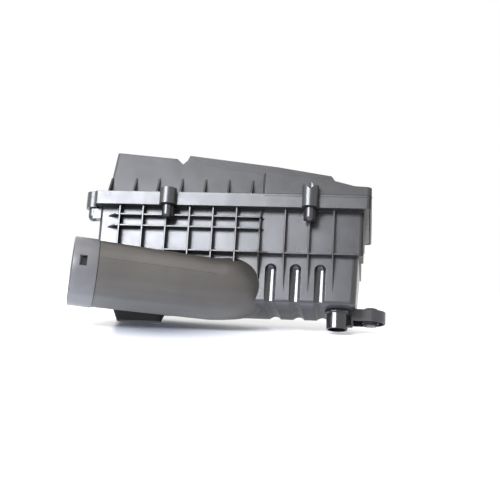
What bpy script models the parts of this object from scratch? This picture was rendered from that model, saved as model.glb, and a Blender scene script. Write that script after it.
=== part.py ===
"""Air filter housing: a panel element clamped between a deep lower casing and a wedge-shaped cover.

Frame: metres, +Z up, +X towards the mounting lug, -Y the side that carries the intake duct.
The lowest points (rest foot, duct and drain spigot) stand at Z = 0.
"""
import bmesh
import bpy
from math import cos, pi, radians, sin, sqrt
from mathutils import Matrix, Vector

BASE_MIDDLE = (-0.004035, -0.016628)   # middle of the overall length and depth, in the layout's own X and Y
GAP = 0.0003                     # clearance kept between pieces that touch
WALL = 0.0025                    # moulded wall thickness

# Parting line and the band (skirt) of the cover
BAND_X = (-0.187, 0.1795)
BAND_Y = (-0.078, 0.0915)
PARTING_Z = 0.1492
BAND_TOP_Z = 0.1674
SKIRT_T = 0.0022
PLATE_BOTTOM_Z = 0.1652          # underside of the cover's clamping plate

# Lower casing
UPPER_X = (-0.1815, 0.1705)
UPPER_Y = (-0.062, 0.075)
LEDGE_Z = 0.091                  # step between the upper and the narrower lower body
LOWER_TOP_X = (-0.176, 0.165)
LOWER_TOP_Y = (-0.060, 0.072)
FLOOR_X = (-0.168, 0.1626)
FLOOR_Y = (-0.060, 0.045)
FLOOR_Z = 0.0252
FLANGE_Z = (0.1495, 0.1525)
FLANGE_INSET = 0.0027            # flange edge inside the band's outer face

RELIEF_X = 0.1665                # right end wall steps in here behind RELIEF_Y
RELIEF_Y = -0.012
RELIEF_Z = (0.106, 0.132)        # height of the step at its front and at the back wall

# Ribs on the front wall
RIB_T = 0.0022
RIB_FRONT_Y = -0.074
LEFT_RIB_X = -0.1515
LEFT_RIB_PITCH = 0.03115
LEFT_RIB_COUNT = 6
NOSE_RIB_X = 0.0354
RIGHT_RIB_X = 0.0682
RIGHT_RIB_PITCH = 0.0317
CROSS_RIB_Z = (0.1371, 0.1219)
CROSS_RIB_FRONT_Y = -0.0734

# Flutes down the front wall and under the floor
FLUTE_X = (0.0518, 0.084, 0.116)
FLUTE_R = 0.00775
FLUTE_DEPTH = 0.0055
FLUTE_TOP_Z = 0.078

# Intake duct: straight, then an elbow into the casing
DUCT_YAW = radians(18.0)
DUCT_FALL = radians(1.6)
BEND_START = Vector((-0.024, -0.0635, 0.0406))
BEND_R = 0.045
END_SHORTEN = 0.6                # flattening of the elbow's closed end
BEND_RISE = 0.28                 # the elbow climbs into the casing as it turns back
SEAM_DISTANCE = 0.150            # bend start back to the collar seam
DUCT_R_SEAM = 0.0428
DUCT_R_BEND = 0.0402
NECK_R = 0.0390
NECK_LENGTH = 0.020
COLLAR_R = 0.0440
COLLAR_BORE_R = 0.0412
COLLAR_LENGTH = 0.031
WINDOW_SIZE = (0.0095, 0.0115)   # along the collar, around it
WINDOW_ANGLE = radians(7.7)
WINDOW_PLACE = 0.0186            # seam to window centre

# Screws that hold the cover: (name, x, y, boss top z)
BOSS_R = 0.011
BOSS_BOTTOM_Z = 0.1478
SCREW_SEAT_Z = 0.164
SCREW_SITES = (
    ("front_left", -0.0865, -0.082, 0.170),
    ("front_right", 0.1005, -0.082, 0.177),
    ("left_end", -0.191, -0.055, 0.170),
    ("rear_left", -0.0865, 0.0955, 0.170),
    ("rear_right", 0.1005, 0.0955, 0.170),
)
PILLAR_R = 0.0058
PILLAR_TOP_Z = 0.1475
PILLAR_BOTTOM_Z = 0.1292
PILLAR_BACK_R = 0.0085           # round buttress behind each side pillar
PILLAR_BACK_OFFSET = 0.0085      # its axis, behind the pillar's own
PILLAR_BACK_BOTTOM_Z = 0.1335
END_PILLAR_R = 0.0070            # the stouter pillar on the left end wall
END_PILLAR_BOTTOM_Z = 0.131
SHANK_R = 0.0025

# Cover hood
HOOD_LEFT_X = -0.172
HOOD_FRONT_Y = -0.066            # set-back left part, at the band's top
HOOD_FRONT_FLUSH_Y = -0.0777     # right part, level with the band
HOOD_STEP_X = (0.036, 0.041)     # where the front wall comes forward
HOOD_REAR_Y = 0.080
HOOD_LEAN = 0.13                 # inward lean of the side walls per metre of height
HOOD_LEFT_LEAN = 0.10
ROOF = ((-0.230, 0.2350), (-0.166, 0.2283), (-0.082, 0.2205), (-0.074, 0.2125), (-0.069, 0.2175),
        (-0.021, 0.2075), (0.080, 0.1935), (0.131, 0.1875), (0.1575, 0.1805), (0.230, 0.1765))
DECK_Y = (-0.0575, 0.0615)       # at the deck's foot; its sides lean like the hood's
DECK = ((-0.0725, 0.2140), (-0.0665, 0.2283), (0.053, 0.2133), (0.126, 0.2010), (0.1305, 0.1945),
        (0.1305, 0.1800), (-0.0725, 0.1800))
GUSSET_X = (-0.168, -0.1346, -0.1032, -0.0718, -0.0403, -0.0089, 0.0225)
GUSSET_TOP_Z = 0.190

# Outlet pipe on the cover's back wall
OUTLET_X = -0.118
OUTLET_Z = 0.194
OUTLET_R = 0.0305
OUTLET_BORE_R = 0.0280
OUTLET_END_Y = 0.128
OUTLET_FLANGE_Y = (0.116, 0.121)
INSERT_OFFSET_X = 0.038
INSERT_R = 0.0035

# Filter element
RIM_Z = (0.1528, 0.1649)
MEDIA_Z = (0.0965, 0.160)
PLEAT_COUNT = 46
PLEAT_RISE = 0.010               # upright thickness of the steep pleated sheet

# Rest foot, drain spigot and mounting lug
FOOT_TOP_X = (-0.162, -0.083)
FOOT_TOP_Y = (-0.052, -0.022)
FOOT_X = (-0.151, -0.092)
FOOT_Y = (-0.044, -0.030)
DRAIN_XY = (0.1385, -0.025)
DRAIN_R = 0.014
DRAIN_BORE_R = 0.0118
DRAIN_RING_R = 0.0164
LUG_XY = (0.1818, 0.0)
LUG_R = 0.0198
LUG_Z = (0.0144, 0.0300)
LUG_ROOT_X = 0.1565
LUG_BOSS_R = 0.0110
GROMMET_HOLE_R = 0.0083
GROMMET_R = 0.0098
SLEEVE_R = 0.0055
SLEEVE_BORE_R = 0.0042

COLOURS = {                      # colour, roughness, metallic
    "casing": ((0.030, 0.031, 0.034), 0.38, 0.0),
    "duct": ((0.045, 0.044, 0.043), 0.42, 0.0),
    "gloss": ((0.016, 0.017, 0.020), 0.22, 0.0),
    "rubber": ((0.018, 0.018, 0.018), 0.75, 0.0),
    "paper": ((0.72, 0.64, 0.42), 0.90, 0.0),
    "seal": ((0.10, 0.11, 0.12), 0.65, 0.0),
    "steel": ((0.55, 0.56, 0.57), 0.32, 1.0),
    "brass": ((0.70, 0.52, 0.24), 0.35, 1.0),
}


# ---------------------------------------------------------------- scene set-up

def clear_scene():
    for item in list(bpy.data.objects):
        bpy.data.objects.remove(item, do_unlink=True)


def new_collection(name):
    collection = bpy.data.collections.new(name)
    bpy.context.scene.collection.children.link(collection)
    return collection


def make_material(name):
    colour, roughness, metallic = COLOURS[name]
    material = bpy.data.materials.new(name)
    material.use_nodes = True
    shader = material.node_tree.nodes["Principled BSDF"]
    shader.inputs["Base Color"].default_value = (*colour, 1.0)
    shader.inputs["Roughness"].default_value = roughness
    shader.inputs["Metallic"].default_value = metallic
    return material


clear_scene()
PARTS = new_collection("air_filter_housing")
CUTTERS = new_collection("cutters")
MATERIALS = {name: make_material(name) for name in COLOURS}


# ---------------------------------------------------------------- basic shapes

def object_from_bmesh(name, mesh_data):
    bmesh.ops.recalc_face_normals(mesh_data, faces=mesh_data.faces)
    mesh = bpy.data.meshes.new(name)
    mesh_data.to_mesh(mesh)
    mesh_data.free()
    item = bpy.data.objects.new(name, mesh)
    CUTTERS.objects.link(item)
    item.hide_render = True
    item.display_type = "WIRE"
    return item


def upright_edges(mesh_data):
    return [edge for edge in mesh_data.edges
            if abs(edge.verts[0].co.z - edge.verts[1].co.z) > 0.5 * edge.calc_length()]


def level_edges(mesh_data, height):
    return [edge for edge in mesh_data.edges
            if all(abs(vert.co.z - height) < 1e-6 for vert in edge.verts)]


def frustum(name, low_x, low_y, low_z, high_x, high_y, high_z, corner=0.0, base_round=0.0):
    """Box whose lower and upper rectangles differ, with rounded uprights and base."""
    shape = bmesh.new()
    bmesh.ops.create_cube(shape, size=2.0)
    for vert in shape.verts:
        on_top = vert.co.z > 0
        x_range, y_range = (high_x, high_y) if on_top else (low_x, low_y)
        vert.co = Vector((x_range[vert.co.x > 0], y_range[vert.co.y > 0], high_z if on_top else low_z))
    if corner:
        bmesh.ops.bevel(shape, geom=upright_edges(shape), offset=corner, segments=3,
                        profile=0.5, affect="EDGES")
    if base_round:
        bmesh.ops.bevel(shape, geom=level_edges(shape, low_z), offset=base_round, segments=2,
                        profile=0.5, affect="EDGES")
    return object_from_bmesh(name, shape)


def box(name, x_range, y_range, z_range, corner=0.0):
    return frustum(name, x_range, y_range, z_range[0], x_range, y_range, z_range[1], corner)


def rod(name, start, end, radius, end_radius=None, segments=32):
    """Solid cylinder or cone between two points."""
    start = Vector(start)
    along = Vector(end) - start
    turn = along.to_track_quat("Z", "Y").to_matrix().to_4x4()
    shape = bmesh.new()
    bmesh.ops.create_cone(shape, cap_ends=True, segments=segments, radius1=radius,
                          radius2=radius if end_radius is None else end_radius, depth=along.length,
                          matrix=Matrix.Translation(start + along / 2) @ turn)
    return object_from_bmesh(name, shape)


def mesh_from_curve(name, curve_object):
    """Evaluate a curve into a closed mesh object and drop the curve."""
    graph = bpy.context.evaluated_depsgraph_get()
    mesh = bpy.data.meshes.new_from_object(curve_object.evaluated_get(graph))
    shape = bmesh.new()
    shape.from_mesh(mesh)
    shape.transform(curve_object.matrix_world)
    bmesh.ops.remove_doubles(shape, verts=shape.verts, dist=1e-6)
    bpy.data.meshes.remove(mesh)
    bpy.data.objects.remove(curve_object, do_unlink=True)
    return object_from_bmesh(name, shape)


def prism(name, outline, plane, span):
    """Flat outline in the XY, XZ or YZ plane, extruded over a span of the third axis."""
    curve = bpy.data.curves.new(name, "CURVE")
    curve.dimensions = "2D"
    curve.fill_mode = "BOTH"
    curve.extrude = (span[1] - span[0]) / 2
    spline = curve.splines.new("POLY")
    spline.points.add(len(outline) - 1)
    for point, (u, v) in zip(spline.points, outline):
        point.co = (u, v, 0.0, 1.0)
    spline.use_cyclic_u = True
    item = bpy.data.objects.new(name, curve)
    CUTTERS.objects.link(item)
    middle = (span[0] + span[1]) / 2
    axes = {
        "XY": Matrix.Translation((0, 0, middle)),
        "XZ": Matrix.Translation((0, middle, 0)) @ Matrix.Rotation(pi / 2, 4, "X"),
        "YZ": Matrix.Translation((middle, 0, 0)) @ Matrix.Rotation(pi / 2, 4, "Z")
              @ Matrix.Rotation(pi / 2, 4, "X"),
    }
    item.matrix_world = axes[plane]
    bpy.context.view_layer.update()
    return mesh_from_curve(name, item)


def swept_tube(name, stations, sides=32):
    """Solid round bar through (point, radius) stations."""
    curve = bpy.data.curves.new(name, "CURVE")
    curve.dimensions = "3D"
    curve.bevel_depth = 1.0
    curve.bevel_resolution = sides // 2 - 2
    curve.use_fill_caps = True
    spline = curve.splines.new("POLY")
    spline.points.add(len(stations) - 1)
    for point, (place, radius) in zip(spline.points, stations):
        point.co = (*place, 1.0)
        point.radius = radius
    item = bpy.data.objects.new(name, curve)
    CUTTERS.objects.link(item)
    bpy.context.view_layer.update()
    return mesh_from_curve(name, item)


def loft(name, low_outline, low_z, high_outline, high_z):
    """Solid between two level outlines with the same number of points."""
    shape = bmesh.new()
    low = [shape.verts.new((x, y, low_z)) for x, y in low_outline]
    high = [shape.verts.new((x, y, high_z)) for x, y in high_outline]
    shape.faces.new(low)
    shape.faces.new(high)
    for index in range(len(low)):
        following = (index + 1) % len(low)
        shape.faces.new((low[index], low[following], high[following], high[index]))
    return object_from_bmesh(name, shape)


def combine(target, operation, tools):
    for tool in tools:
        modifier = target.modifiers.new(operation.lower(), "BOOLEAN")
        modifier.operation = operation
        modifier.solver = "EXACT"
        modifier.object = tool
    return target


def add(target, *tools):
    return combine(target, "UNION", tools)


def cut(target, *tools):
    return combine(target, "DIFFERENCE", tools)


def publish(item, name, material, smooth_angle=35.0):
    """Turn a working solid into a finished part with its own name and material."""
    CUTTERS.objects.unlink(item)
    PARTS.objects.link(item)
    item.name = name
    item.hide_render = False
    item.display_type = "TEXTURED"
    item.data.materials.clear()
    item.data.materials.append(MATERIALS[material])
    item.data.shade_smooth()
    item.data.set_sharp_from_angle(angle=radians(smooth_angle))
    return item


def grown(pair, amount):
    return (pair[0] - amount, pair[1] + amount)


def disc_lathe(name, rings, centre, segments=32):
    """Turned solid about a vertical axis: profile of (radius, z) from top to bottom.

    A profile that starts at radius 0 ends there too, and stays open along the axis.
    """
    mesh = bpy.data.meshes.new(name)
    edges = [(index, index + 1) for index in range(len(rings) - 1)]
    if rings[0][0] > 0.0:
        edges.append((len(rings) - 1, 0))
    mesh.from_pydata([(radius, 0.0, height) for radius, height in rings], edges, [])
    item = bpy.data.objects.new(name, mesh)
    CUTTERS.objects.link(item)
    item.location = (centre[0], centre[1], 0.0)
    screw = item.modifiers.new("turn", "SCREW")
    screw.steps = segments
    screw.render_steps = segments
    screw.use_merge_vertices = True
    screw.merge_threshold = 0.00001
    bpy.context.view_layer.update()
    return mesh_from_curve(name, item)


# ---------------------------------------------------------------- duct geometry

DUCT_DIRECTION = Vector((cos(DUCT_YAW) * cos(DUCT_FALL), sin(DUCT_YAW) * cos(DUCT_FALL), -sin(DUCT_FALL)))
SEAM = BEND_START - DUCT_DIRECTION * SEAM_DISTANCE
BEND_CENTRE = BEND_START + Vector((-sin(DUCT_YAW), cos(DUCT_YAW), 0.0)) * BEND_R


def along_duct(distance):
    """Point on the intake's axis, measured outwards from the collar seam."""
    return SEAM - DUCT_DIRECTION * distance


def climbing(point):
    """Lift a point of the elbow by the climb it has made since the bend began."""
    return point + Vector((0.0, 0.0, (point.y - BEND_START.y) * BEND_RISE))


def duct_stations(inset):
    """Centreline points and radii from the collar seam round the elbow to its closed end."""
    stations = [(along_duct(-inset), DUCT_R_SEAM - inset), (BEND_START, DUCT_R_BEND - inset)]
    sweep = pi / 2 - DUCT_YAW
    steps = 8
    for step in range(1, steps + 1):
        angle = sweep * step / steps
        radial = Vector((sin(DUCT_YAW + angle), -cos(DUCT_YAW + angle), 0.0))
        stations.append((climbing(BEND_CENTRE + radial * BEND_R), DUCT_R_BEND - inset))
    last, radius = stations[-1]
    for step in range(1, 5):
        reach = radius * sin(step * pi / 10)
        width = sqrt(radius * radius - reach * reach)
        stations.append((last + Vector((0.0, reach, reach * BEND_RISE)) * END_SHORTEN, width))
    return stations


# ---------------------------------------------------------------- lower casing

def casing_body(inset):
    """Stepped tub: the wide upper part and the narrower lower part."""
    upper = frustum("tub_upper", grown(UPPER_X, -inset), grown(UPPER_Y, -inset), LEDGE_Z + inset * 0.4,
                    grown(UPPER_X, -inset), grown(UPPER_Y, -inset), FLANGE_Z[0] + 0.001 + inset * 2,
                    corner=0.006 - inset * 0.8)
    lower = frustum("tub_lower", grown(FLOOR_X, -inset), grown(FLOOR_Y, -inset), FLOOR_Z + inset,
                    grown(LOWER_TOP_X, -inset), grown(LOWER_TOP_Y, -inset), LEDGE_Z + 0.002 + inset,
                    corner=0.008 - inset, base_round=0.005 - inset)
    slope = (RELIEF_Z[1] - RELIEF_Z[0]) / (UPPER_Y[1] - RELIEF_Y)
    near_y = RELIEF_Y - inset
    far_y = UPPER_Y[1] + 0.01
    relief = ((near_y, 0.080), (far_y, 0.080), (far_y, RELIEF_Z[0] + slope * (far_y - RELIEF_Y) + inset),
              (near_y, RELIEF_Z[0] + inset), (near_y - 0.009, LEDGE_Z + inset), (near_y - 0.014, 0.080))
    cut(upper, prism("relief", relief, "YZ", (RELIEF_X - inset, UPPER_X[1] + 0.01)))
    return add(upper, lower)


def flute_cutters(margin):
    """Round-topped channels down the front wall that carry on under the floor."""
    radius = FLUTE_R + margin
    depth_y = FLOOR_Y[0] + FLUTE_DEPTH - FLUTE_R
    depth_z = FLOOR_Z + FLUTE_DEPTH - FLUTE_R
    crown_z = FLUTE_TOP_Z - FLUTE_R
    crown = [(crown_z + radius * sin(step * pi / 12), radius * cos(step * pi / 12)) for step in range(1, 6)]
    cutters = []
    for x in FLUTE_X:
        stations = [((x, 0.080, depth_z), radius), ((x, depth_y, depth_z), radius),
                    ((x, depth_y, crown_z), radius)]
        stations += [((x, depth_y, z), width) for z, width in crown]
        cutters.append(swept_tube("flute", stations, sides=24))
    return cutters


def wall_ribs():
    """Upright and level stiffening ribs on the front wall."""
    ribs = []
    wall_y = UPPER_Y[0] + 0.003
    for index in range(LEFT_RIB_COUNT):
        x = LEFT_RIB_X + LEFT_RIB_PITCH * index
        span = (x - RIB_T / 2, x + RIB_T / 2)
        ribs.append(box("upright", span, (RIB_FRONT_Y, wall_y), (0.046, FLANGE_Z[0] + 0.001)))
    nose = ((-0.067, FLANGE_Z[0] + 0.001), (RIB_FRONT_Y, LEDGE_Z), (-0.060, 0.055), (wall_y, 0.055),
            (wall_y, FLANGE_Z[0] + 0.001))
    ribs.append(prism("nose_rib", nose, "YZ", (NOSE_RIB_X - RIB_T / 2, NOSE_RIB_X + RIB_T / 2)))
    long_rib = ((-0.071, FLANGE_Z[0] + 0.001), (-0.071, LEDGE_Z - 0.004), (-0.0595, 0.039),
                (wall_y, 0.039), (wall_y, FLANGE_Z[0] + 0.001))
    for index in range(3):
        x = RIGHT_RIB_X + RIGHT_RIB_PITCH * index
        ribs.append(prism("long_rib", long_rib, "YZ", (x - RIB_T / 2, x + RIB_T / 2)))
    cross = ((-0.169, -0.0615), (-0.157, CROSS_RIB_FRONT_Y), (NOSE_RIB_X, -0.0715), (0.040, -0.0615),
             (0.040, wall_y), (-0.169, wall_y))
    for z in CROSS_RIB_Z:
        ribs.append(prism("cross_rib", cross, "XY", (z - RIB_T / 2, z + RIB_T / 2)))
    ledge = ((-0.179, -0.0615), (-0.168, CROSS_RIB_FRONT_Y), (NOSE_RIB_X, CROSS_RIB_FRONT_Y),
             (0.048, -0.070), (0.160, -0.070), (0.1685, -0.0615), (0.1685, wall_y), (-0.179, wall_y))
    ribs.append(prism("ledge_rib", ledge, "XY", (LEDGE_Z - RIB_T, LEDGE_Z)))
    return ribs


def casing_pillars():
    """Blind pillars under the cover's screws, each tied back to the casing wall."""
    pillars = []
    bores = []
    for name, x, y, _ in SCREW_SITES:
        at_end = name == "left_end"
        radius = END_PILLAR_R if at_end else PILLAR_R
        bottom = END_PILLAR_BOTTOM_Z if at_end else PILLAR_BOTTOM_Z
        round_end = [(radius * cos(step * pi / 12), bottom + radius - radius * sin(step * pi / 12))
                     for step in range(6)]
        profile = [(0.0, PILLAR_TOP_Z), (radius, PILLAR_TOP_Z), *round_end, (0.0, bottom)]
        pillars.append(disc_lathe("pillar", profile, (x, y), segments=24))
        if at_end:
            pillars.append(box("pillar_web", (x, UPPER_X[0] + 0.002), grown((y, y), radius * 0.98),
                               (bottom + 0.002, PILLAR_TOP_Z - 0.0004)))
        else:
            side = -1 if y < 0 else 1
            back_y = y - side * PILLAR_BACK_OFFSET
            wall_y = UPPER_Y[0] + 0.002 if y < 0 else UPPER_Y[1] - 0.002
            core_y = tuple(sorted((back_y, wall_y)))
            pillars.append(rod("pillar_back", (x, back_y, PILLAR_BACK_BOTTOM_Z),
                               (x, back_y, PILLAR_TOP_Z - 0.0004), PILLAR_BACK_R))
            pillars.append(box("pillar_core", grown((x, x), 0.006), core_y,
                               (PILLAR_BACK_BOTTOM_Z + 0.002, FLANGE_Z[0] + 0.0006)))
        bores.append(rod("pillar_bore", (x, y, 0.1375), (x, y, 0.150), SHANK_R + GAP, segments=24))
    return pillars, bores


def lug_outline(inset):
    """Round-ended lug, seen from above."""
    radius = LUG_R - inset
    x, y = LUG_XY
    arc = [(x + radius * cos(angle), y + radius * sin(angle))
           for angle in (pi * step / 16 - pi / 2 for step in range(17))]
    return [(LUG_ROOT_X + inset, y - radius), *arc, (LUG_ROOT_X + inset, y + radius)]


def lug_solid():
    """Mounting lug, hollow underneath, with a sleeve boss for the grommet."""
    lug = prism("lug", lug_outline(0.0), "XY", LUG_Z)
    pocket = prism("lug_pocket", lug_outline(WALL), "XY", (LUG_Z[0] - 0.005, LUG_Z[1] - WALL))
    boss = rod("lug_boss", (*LUG_XY, 0.0), (*LUG_XY, LUG_Z[1]), LUG_BOSS_R)
    return cut(lug, cut(pocket, boss))


def make_lower_casing():
    shell = casing_body(0.0)
    foot = frustum("foot", FOOT_X, FOOT_Y, 0.0, FOOT_TOP_X, FOOT_TOP_Y, FLOOR_Z + 0.003, corner=0.006)
    flange = box("flange", grown(BAND_X, -FLANGE_INSET), grown(BAND_Y, -FLANGE_INSET), FLANGE_Z,
                 corner=0.004)
    pillars, bores = casing_pillars()
    duct = swept_tube("duct_skin", duct_stations(0.0))
    neck = rod("neck", along_duct(-0.0015), along_duct(NECK_LENGTH), NECK_R)
    lug_rib = box("lug_rib", (0.150, 0.158), (0.004, 0.0192), (0.0125, FLOOR_Z + 0.001))
    add(shell, flange, *wall_ribs(), *pillars)
    cut(shell, *flute_cutters(0.0))
    add(shell, foot, duct, neck, lug_solid(), lug_rib)
    cavity = casing_body(WALL)
    cut(cavity, *flute_cutters(WALL))
    mouth = box("mouth", grown(UPPER_X, -WALL + 0.0006), grown(UPPER_Y, -WALL + 0.0006),
                (FLANGE_Z[0] - 0.0006, 0.157), corner=0.004)
    duct_bore = swept_tube("duct_bore", duct_stations(0.0028))
    neck_bore = rod("neck_bore", along_duct(-0.004), along_duct(NECK_LENGTH + 0.002), NECK_R - WALL)
    add(cavity, mouth, duct_bore, neck_bore)
    drain_hole = rod("drain_hole", (*DRAIN_XY, 0.015), (*DRAIN_XY, 0.035), DRAIN_R + GAP)
    lip_room = rod("lip_room", (*DRAIN_XY, FLOOR_Z + WALL), (*DRAIN_XY, 0.035), DRAIN_R + 0.0014)
    grommet_hole = rod("grommet_hole", (*LUG_XY, 0.0), (*LUG_XY, 0.04), GROMMET_HOLE_R)
    cut(shell, cavity, *bores, drain_hole, lip_room, grommet_hole)
    publish(shell, "lower_casing", "casing")


# ---------------------------------------------------------------- intake pieces

def make_intake_collar():
    collar = rod("collar", along_duct(GAP), along_duct(COLLAR_LENGTH), COLLAR_R)
    bore = rod("collar_bore", along_duct(-0.01), along_duct(COLLAR_LENGTH + 0.01), COLLAR_BORE_R)
    cut(collar, bore)
    across = Vector((sin(DUCT_YAW), -cos(DUCT_YAW), 0.0))
    for side in (1, -1):
        facing = (across * cos(WINDOW_ANGLE) * side + Vector((0, 0, sin(WINDOW_ANGLE)))).normalized()
        upward = DUCT_DIRECTION.cross(facing).normalized()
        centre = along_duct(WINDOW_PLACE) + facing * COLLAR_R
        window = box("window", grown((0, 0), WINDOW_SIZE[0] / 2), grown((0, 0), WINDOW_SIZE[1] / 2),
                     (-0.006, 0.006))
        turn = Matrix((DUCT_DIRECTION, upward, facing)).transposed().to_4x4()
        window.data.transform(Matrix.Translation(centre) @ turn)
        if turn.determinant() < 0:
            window.data.flip_normals()
        cut(collar, window)
    publish(collar, "intake_collar", "duct")


def make_collar_seal():
    seal = rod("seal", along_duct(0.004), along_duct(0.008), COLLAR_BORE_R - GAP)
    cut(seal, rod("seal_bore", along_duct(0.0), along_duct(0.012), NECK_R + GAP))
    publish(seal, "collar_seal", "rubber")


def make_snow_screen():
    """Coarse grid across the duct, just inside the neck."""
    place = -0.030
    share = -place / SEAM_DISTANCE
    radius = DUCT_R_SEAM + (DUCT_R_BEND - DUCT_R_SEAM) * share - 0.0028 - 2 * GAP
    ring = rod("screen_ring", along_duct(place - 0.002), along_duct(place + 0.002), radius)
    opening = rod("screen_opening", along_duct(place - 0.01), along_duct(place + 0.01), radius - 0.003)
    bars = []
    turn = DUCT_DIRECTION.to_track_quat("Z", "Y").to_matrix().to_4x4()
    for step in range(-3, 4):
        offset = step * 0.010
        half = sqrt((radius - 0.0015) ** 2 - offset ** 2)
        thin = grown((offset, offset), 0.0007)
        for size_x, size_y in ((thin, (-half, half)), ((-half, half), thin)):
            depth = 0.0012 if size_x is thin else 0.0010
            bar = box("screen_bar", size_x, size_y, (-depth, depth))
            bar.data.transform(Matrix.Translation(along_duct(place)) @ turn)
            bars.append(bar)
    publish(add(cut(ring, opening), *bars), "snow_screen", "gloss")


def make_drain_spigot():
    inside_z = FLOOR_Z + WALL
    pipe = [(DRAIN_R, 0.0), (DRAIN_R, 0.0205), (DRAIN_RING_R, 0.0212), (DRAIN_RING_R, FLOOR_Z - GAP),
            (DRAIN_R, FLOOR_Z - GAP), (DRAIN_R, inside_z + GAP), (DRAIN_R + 0.001, inside_z + GAP),
            (DRAIN_R, inside_z + 0.0025), (DRAIN_BORE_R, inside_z + 0.0025), (DRAIN_BORE_R, 0.0)]
    publish(disc_lathe("drain", list(reversed(pipe)), DRAIN_XY), "drain_spigot", "gloss")


def make_mount():
    top = LUG_Z[1] + GAP
    bottom = LUG_Z[0] - GAP
    neck = GROMMET_HOLE_R - GAP
    grommet = [(SLEEVE_R + GAP, top + 0.0042), (GROMMET_R - 0.001, top + 0.0042),
               (GROMMET_R, top + 0.0032), (GROMMET_R, top), (neck, top), (neck, bottom),
               (GROMMET_R, bottom), (GROMMET_R, bottom - 0.0030), (SLEEVE_R + GAP, bottom - 0.0030)]
    publish(disc_lathe("grommet", grommet, LUG_XY), "mount_grommet", "rubber")
    sleeve = [(SLEEVE_BORE_R, top + 0.0047), (SLEEVE_R, top + 0.0047), (SLEEVE_R, bottom - 0.0035),
              (SLEEVE_BORE_R, bottom - 0.0035)]
    publish(disc_lathe("sleeve", sleeve, LUG_XY), "mount_sleeve", "steel")


# ---------------------------------------------------------------- filter element

def make_filter():
    inside_x = grown(UPPER_X, -WALL - 0.002)
    inside_y = grown(UPPER_Y, -WALL - 0.002)
    rim = box("rim", grown(BAND_X, -0.0045), grown(UPPER_Y, 0.0095), RIM_Z, corner=0.008)
    cut(rim, box("rim_hole", inside_x, inside_y, grown(RIM_Z, 0.01), corner=0.004))
    publish(rim, "filter_seal", "seal")
    left, right = grown(inside_x, -0.0045)
    pitch = (right - left) / PLEAT_COUNT
    fold = pitch / 2
    levels = (MEDIA_Z[0], MEDIA_Z[1] - PLEAT_RISE)
    folds = [(left + index * fold, levels[index % 2]) for index in range(2 * PLEAT_COUNT + 1)]
    face = [(x, z + PLEAT_RISE) for x, z in folds]
    back = list(reversed(folds))
    media = prism("media", face + back, "XZ", grown(inside_y, -GAP))
    publish(media, "filter_media", "paper")


# ---------------------------------------------------------------- cover

def hood_outline(inset, z):
    """Plan outline of the hood's walls at a height; the front steps forward on the right."""
    rise = z - BAND_TOP_Z
    left = HOOD_LEFT_X + HOOD_LEFT_LEAN * rise + inset
    right = BAND_X[1] - inset
    rear = HOOD_REAR_Y - HOOD_LEAN * rise - inset
    set_back = HOOD_FRONT_Y + HOOD_LEAN * rise + inset
    flush = HOOD_FRONT_FLUSH_Y + HOOD_LEAN * rise + inset
    front = []
    for step in range(13):
        share = step / 12
        blend = share * share * (3 - 2 * share)
        front.append((HOOD_STEP_X[0] + (HOOD_STEP_X[1] - HOOD_STEP_X[0]) * share,
                      set_back + (flush - set_back) * blend))
    corner = 0.006 - inset * 0.6
    turns = (((left + corner, set_back + corner), pi), ((right - corner, flush + corner), 1.5 * pi),
             ((right - corner, rear - corner), 0.0), ((left + corner, rear - corner), 0.5 * pi))
    arcs = [[(x + corner * cos(start + step * pi / 8), y + corner * sin(start + step * pi / 8))
             for step in range(5)] for (x, y), start in turns]
    return arcs[0] + front + arcs[1] + arcs[2] + arcs[3]


def hood_solid(inset, bottom_z):
    """Leaning hood with its sloped, notched roof, the raised deck behind it included."""
    drop = inset * 1.2
    top_z = 0.245
    hood = loft("hood", hood_outline(inset, bottom_z), bottom_z, hood_outline(inset, top_z), top_z)
    sky = [(x, z - drop) for x, z in ROOF] + [(ROOF[-1][0], 0.300), (ROOF[0][0], 0.300)]
    cut(hood, prism("sky", sky, "XZ", (-0.120, 0.140)))
    middle_x = (DECK[0][0] + DECK[3][0]) / 2
    profile = [(x + (inset if x < middle_x - 0.03 else -inset if x > middle_x + 0.03 else 0.0),
                z - (drop if z > DECK[-1][1] else 0.0)) for x, z in DECK]
    foot_z = DECK[-1][1]
    foot_y = grown(DECK_Y, -inset)
    crown_y = grown(foot_y, -HOOD_LEAN * (top_z - foot_z))
    deck = frustum("deck", (-0.080, 0.140), foot_y, foot_z, (-0.080, 0.140), crown_y, top_z)
    return add(hood, combine(deck, "INTERSECT", [prism("deck_profile", profile, "XZ", DECK_Y)]))


def gussets():
    fins = []
    for x in GUSSET_X:
        fin = ((BAND_Y[0] + 0.0012, BAND_TOP_Z - 0.001), (HOOD_FRONT_Y + 0.004, BAND_TOP_Z - 0.001),
               (HOOD_FRONT_Y + 0.004, GUSSET_TOP_Z), (HOOD_FRONT_Y + 0.0025, GUSSET_TOP_Z),
               (BAND_Y[0] + 0.0012, BAND_TOP_Z + 0.002))
        fins.append(prism("gusset", fin, "YZ", (x - 0.0012, x + 0.0012)))
    return fins


def screw_bosses():
    """Cover bosses with their sleeve bores and the counterbores for the screw heads."""
    bosses = []
    bores = []
    for name, x, y, top in SCREW_SITES:
        bosses.append(rod("boss", (x, y, BOSS_BOTTOM_Z), (x, y, top), BOSS_R))
        bores.append(rod("sleeve_bore", (x, y, 0.140), (x, y, 0.166), 0.0043, segments=24))
        bores.append(rod("counterbore", (x, y, SCREW_SEAT_Z), (x, y, 0.200), 0.0066, segments=24))
        if name == "front_right":
            notch = ((x - 0.0085, top + 0.001), (x + 0.0085, top + 0.001), (x, top - 0.0065))
            bores.append(prism("boss_notch", notch, "XZ", (y - 0.013, y + 0.002)))
    return bosses, bores


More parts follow.
